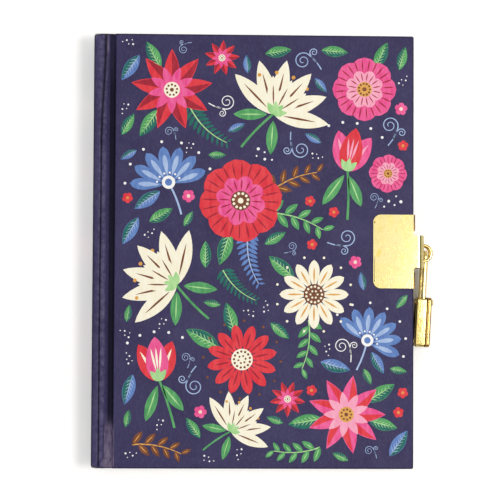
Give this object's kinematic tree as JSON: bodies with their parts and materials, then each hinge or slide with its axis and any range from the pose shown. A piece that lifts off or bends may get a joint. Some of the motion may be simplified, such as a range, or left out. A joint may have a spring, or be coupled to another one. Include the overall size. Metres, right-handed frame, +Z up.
{
  "type": "lockable diary",
  "caption": "Case-bound diary with dark printed covers, a grooved spine joint, a folded brass clasp with wire rings at the fore edge and a small flat padlock.",
  "frame": {"origin": "middle of the back cover's outer face, on which the closed diary lies", "axes": "+X from the spine to the fore edge, +Y to the head of the pages, +Z up through the front cover"},
  "size_m": [0.158, 0.2, 0.0214],
  "materials": {
    "printed_wrap": "dark navy printed paper, silk film",
    "grey_board": "grey binder's board",
    "paper": "uncoated cream writing paper",
    "endpaper": "plain uncoated paper",
    "lining_cloth": "open gauze and glue",
    "band_cloth": "woven band",
    "brass": "polished brass plating",
    "lock_steel": "plain stamped steel"
  },
  "bodies": {
    "book": {"back_board": "grey_board", "back_wrap": "printed_wrap", "back_endpaper": "endpaper", "spine_board": "grey_board", "spine_wrap": "printed_wrap", "back_joint_strip": "printed_wrap", "front_joint_strip": "printed_wrap", "page_section_1": "paper", "page_section_2": "paper", "page_section_3": "paper", "page_section_4": "paper", "page_section_5": "paper", "page_section_6": "paper", "page_section_7": "paper", "spine_lining": "lining_cloth", "head_band": "band_cloth", "tail_band": "band_cloth", "back_flyleaf": "endpaper", "back_clasp_plate": "brass", "back_ring": "brass"},
    "front_cover": {"front_board": "grey_board", "front_wrap": "printed_wrap", "front_endpaper": "endpaper", "front_clasp_plate": "brass", "front_ring": "brass"},
    "flyleaf": {"front_flyleaf": "endpaper"},
    "shackle_body": {"shackle": "brass"},
    "lock_body": {"lock_case": "brass", "lock_face": "brass", "pivot_rivet": "brass", "case_rivets": "brass", "key_post": "lock_steel", "latch_spring": "lock_steel"},
    "latch_body": {"latch": "lock_steel"}
  },
  "joints": [
    {"name": "front_cover_open", "type": "hinge", "parent": "book", "child": "front_cover", "pos_m": [-0.0657, 0, 0.02105], "axis": [0, -1, 0], "range_deg": [0, 180], "deforming": ["front_joint_strip"]},
    {"name": "flyleaf_turn", "type": "hinge", "parent": "book", "child": "flyleaf", "pos_m": [-0.0657, 0, 0.02105], "axis": [0, -1, 0], "range_deg": [0, 162]},
    {"name": "padlock_swing", "type": "hinge", "parent": "book", "child": "shackle_body", "pos_m": [0.08065, -0.0003, 0.0112], "axis": [0, 0, 1], "range_deg": [0, 180]},
    {"name": "padlock_open", "type": "hinge", "parent": "shackle_body", "child": "lock_body", "pos_m": [0.07944, -0.02347, 0.0136], "axis": [-0.9986, 0.0523, 0], "range_deg": [0, 40]},
    {"name": "latch_slide", "type": "slide", "parent": "lock_body", "child": "latch_body", "axis": [0, 0, -1], "range_m": [0, 0.0007]}
  ],
  "couplings": [
    {"joint": "flyleaf_turn", "follows": "front_cover_open", "ratio": 0.9}
  ]
}
